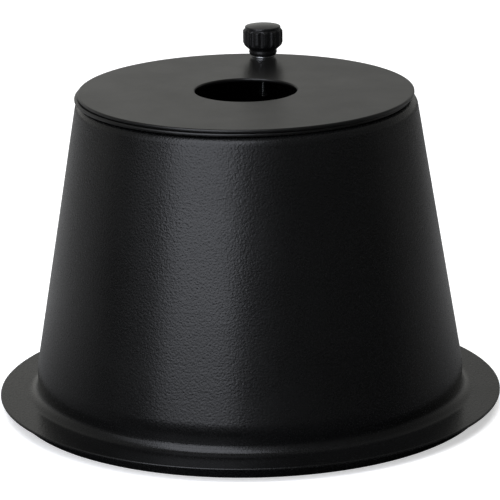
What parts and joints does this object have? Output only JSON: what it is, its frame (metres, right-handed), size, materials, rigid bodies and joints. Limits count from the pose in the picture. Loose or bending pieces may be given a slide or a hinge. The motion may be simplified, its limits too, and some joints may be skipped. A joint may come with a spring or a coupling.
{
  "type": "snoot",
  "caption": "Conical black snoot for a studio Fresnel lamp, with a flanged base and stacked swing-away aperture plates clamped by a fluted knob.",
  "frame": {"origin": "centre of the spigot ring's bottom edge, on the cone's axis", "axes": "+Z along the cone's axis from the wide flange towards the aperture plates, which is the way the light goes; +Y towards the clamping knob's side; +X to the right when looking along +Y"},
  "size_m": [0.245, 0.245, 0.1724],
  "materials": {
    "body_paint": "textured satin black powder coat",
    "plate_paint": "fine satin black powder coat",
    "knob_plastic": "semi-gloss moulded",
    "cap_plastic": "fine matt moulded",
    "zinc_steel": "bright zinc plate"
  },
  "bodies": {
    "snoot": {"snoot_body": "body_paint", "spigot_ring": "body_paint", "weld_nut": "body_paint"},
    "lower_plate": {"aperture_plate_large": "plate_paint"},
    "upper_plate": {"aperture_plate_small": "plate_paint"},
    "washer": {"plain_washer": "zinc_steel"},
    "knob": {"knob_grip": "knob_plastic", "knob_cap": "cap_plastic", "knob_screw": "zinc_steel"}
  },
  "joints": [
    {"name": "lower_plate_swing", "type": "hinge", "parent": "snoot", "child": "lower_plate", "pos_m": [0.00858, 0.07317, 0.1525], "axis": [0, 0, 1], "continuous": true},
    {"name": "upper_plate_swing", "type": "hinge", "parent": "snoot", "child": "upper_plate", "pos_m": [0.00858, 0.07317, 0.1561], "axis": [0, 0, 1], "continuous": true},
    {"name": "knob_lift", "type": "slide", "parent": "snoot", "child": "washer", "axis": [0, 0, 1], "range_m": [0, 0.01501]},
    {"name": "knob_turn", "type": "hinge", "parent": "washer", "child": "knob", "pos_m": [0.00858, 0.07317, 0.1561], "axis": [0, 0, 1], "range_deg": [0, 5400]}
  ],
  "couplings": [
    {"joint": "knob_lift", "follows": "knob_turn", "m_per_rad": 0.00015915}
  ]
}
